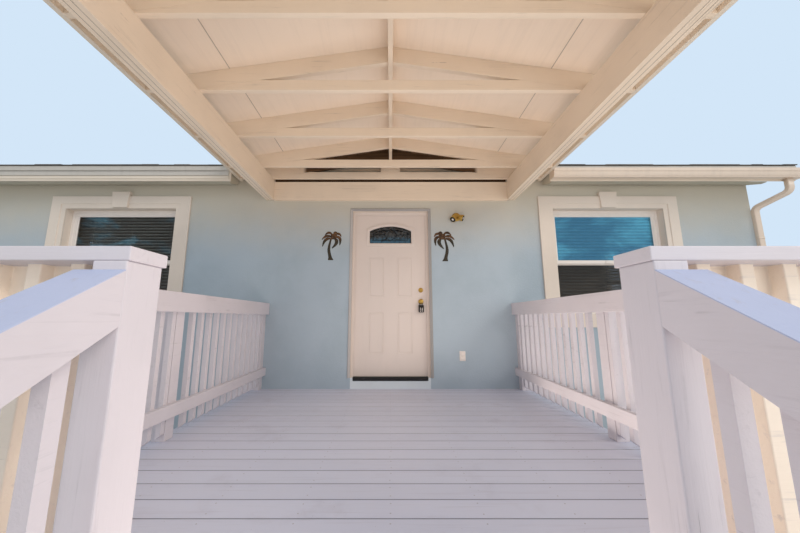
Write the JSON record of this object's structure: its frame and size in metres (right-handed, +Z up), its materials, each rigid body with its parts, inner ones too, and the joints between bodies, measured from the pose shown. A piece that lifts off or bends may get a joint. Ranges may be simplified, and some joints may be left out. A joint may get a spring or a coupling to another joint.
{
  "type": "bungalow with front porch",
  "caption": "Single-storey stucco bungalow with gable roof, framed windows, hinged front door and a raised timber porch with deck, stair, railings and truss roof.",
  "frame": {"origin": "on the ground on the front door's centre line, halfway through the front foundation wall", "axes": "+Z up; +Y into the house, away from the porch; +X to the right when facing the front door"},
  "size_m": [10.71, 12.09, 4.7714],
  "materials": {
    "blue_stucco": "matt sand-finished stucco, painted pale blue",
    "cream_stucco": "matt smooth stucco, painted cream",
    "roof_shingle": "mineral granules on overlapping shingles",
    "cream_trim": "satin paint on wood",
    "cream_metal": "satin baked enamel",
    "white_vinyl": "satin",
    "window_glass": "clear",
    "white_paint": "satin exterior paint on sawn lumber",
    "door_paint": "satin paint",
    "door_glass": "leaded, frosted",
    "brass": "polished",
    "deck_paint": "worn grey deck paint",
    "treated_lumber": "bare weathered lumber",
    "floor_boards": "varnished boards",
    "dark_metal": "matt"
  },
  "bodies": {
    "house": {"foundation": "blue_stucco", "floor": "floor_boards", "front_wall_left": "blue_stucco", "front_wall_right": "blue_stucco", "front_wall_over_door": "blue_stucco", "left_wall": "blue_stucco", "right_wall": "blue_stucco", "back_wall": "blue_stucco", "house_roof_front": "roof_shingle", "house_roof_back": "roof_shingle", "fascia_boards": "cream_trim", "rake_boards": "cream_trim", "gutters": "cream_metal", "downspouts": "cream_metal", "front_window_surrounds": "cream_stucco", "front_window_frames": "white_vinyl", "front_window_glass": "window_glass", "other_window_surrounds": "cream_stucco", "other_window_frames": "white_vinyl", "other_window_glass": "window_glass", "door_frame": "white_paint", "door_sill": "blue_stucco", "door_hinges": "brass", "deck_boards": "deck_paint", "deck_frame": "treated_lumber", "deck_girders": "treated_lumber", "deck_posts": "treated_lumber", "stair_stringers": "deck_paint", "stair_treads": "deck_paint", "stair_risers": "deck_paint", "side_railings": "white_paint", "front_railings": "white_paint", "newel_posts": "white_paint", "stair_railings": "white_paint", "porch_posts": "white_paint", "porch_beams": "white_paint", "porch_ledger": "white_paint", "porch_ties": "white_paint", "porch_rafters": "white_paint", "porch_king_block": "white_paint", "porch_ridge_board": "white_paint", "porch_roof_panels": "roof_shingle", "porch_fascia": "cream_trim", "palm_ornaments": "dark_metal", "wall_light": "brass"},
    "front_door": {"front_door": "door_paint", "door_glass": "door_glass", "door_hardware": "brass"}
  },
  "joints": [
    {"name": "front_door_hinge", "type": "hinge", "parent": "house", "child": "front_door", "pos_m": [-0.457, 0.012, 1.86], "axis": [0, 0, 1], "range_deg": [0, 90]}
  ]
}
